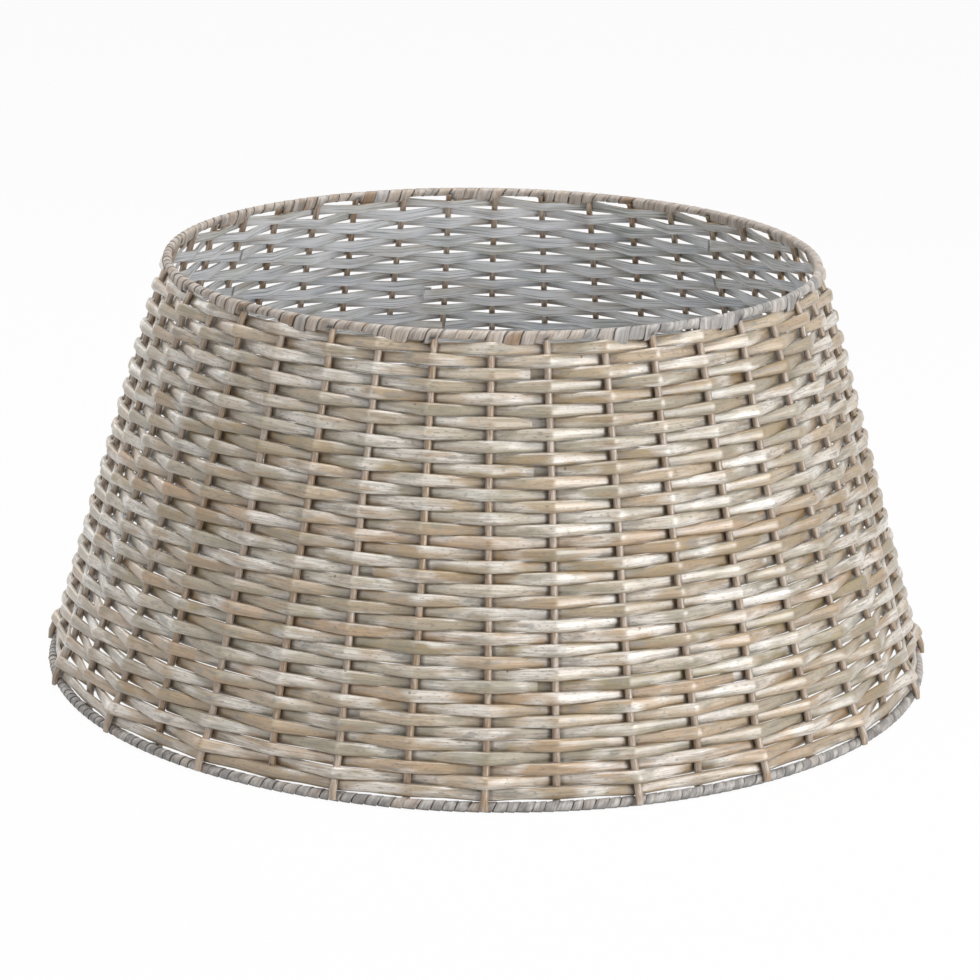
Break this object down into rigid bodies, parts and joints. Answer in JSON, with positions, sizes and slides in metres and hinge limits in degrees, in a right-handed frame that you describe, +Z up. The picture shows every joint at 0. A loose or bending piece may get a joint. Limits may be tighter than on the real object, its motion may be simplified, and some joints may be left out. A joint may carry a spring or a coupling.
{
  "type": "christmas tree collar",
  "caption": "Open-ended tapered collar of split willow woven on upright stakes, with a lapped wire hoop at each rim, that hides the stand at a tree's foot.",
  "frame": {"origin": "centre of the foot's circle, on the surface that the collar stands on", "axes": "+Z up along the cone's axis; the front stake, which the picture shows in the middle, faces -Y"},
  "size_m": [0.6534, 0.6534, 0.3],
  "materials": {
    "split_willow": "greywashed split willow, bleached skin outside and grey split face inside",
    "stake_willow": "greywashed round willow rod, satin",
    "lapping_willow": "greywashed thin willow skein, wound round the hoop",
    "galvanised_wire": "dull galvanised wire"
  },
  "bodies": {
    "root": {"base_hoop": "galvanised_wire", "top_hoop": "galvanised_wire", "base_binding": "lapping_willow", "top_binding": "lapping_willow", "weaver_01": "split_willow", "weaver_02": "split_willow", "weaver_03": "split_willow", "weaver_04": "split_willow", "weaver_05": "split_willow", "weaver_06": "split_willow", "weaver_07": "split_willow", "weaver_08": "split_willow", "weaver_09": "split_willow", "weaver_10": "split_willow", "weaver_11": "split_willow", "weaver_12": "split_willow", "weaver_13": "split_willow", "weaver_14": "split_willow", "weaver_15": "split_willow", "weaver_16": "split_willow", "stake_01": "stake_willow", "stake_02": "stake_willow", "stake_03": "stake_willow", "stake_04": "stake_willow", "stake_05": "stake_willow", "stake_06": "stake_willow", "stake_07": "stake_willow", "stake_08": "stake_willow", "stake_09": "stake_willow", "stake_10": "stake_willow", "stake_11": "stake_willow", "stake_12": "stake_willow", "stake_13": "stake_willow", "stake_14": "stake_willow", "stake_15": "stake_willow", "stake_16": "stake_willow", "stake_17": "stake_willow", "stake_18": "stake_willow", "stake_19": "stake_willow", "stake_20": "stake_willow", "stake_21": "stake_willow", "stake_22": "stake_willow", "stake_23": "stake_willow", "stake_24": "stake_willow", "stake_25": "stake_willow", "stake_26": "stake_willow", "stake_27": "stake_willow", "stake_28": "stake_willow", "stake_29": "stake_willow", "stake_30": "stake_willow", "stake_31": "stake_willow", "stake_32": "stake_willow", "stake_33": "stake_willow", "stake_34": "stake_willow", "stake_35": "stake_willow", "stake_36": "stake_willow", "stake_37": "stake_willow", "stake_38": "stake_willow", "stake_39": "stake_willow", "stake_40": "stake_willow"}
  },
  "joints": []
}
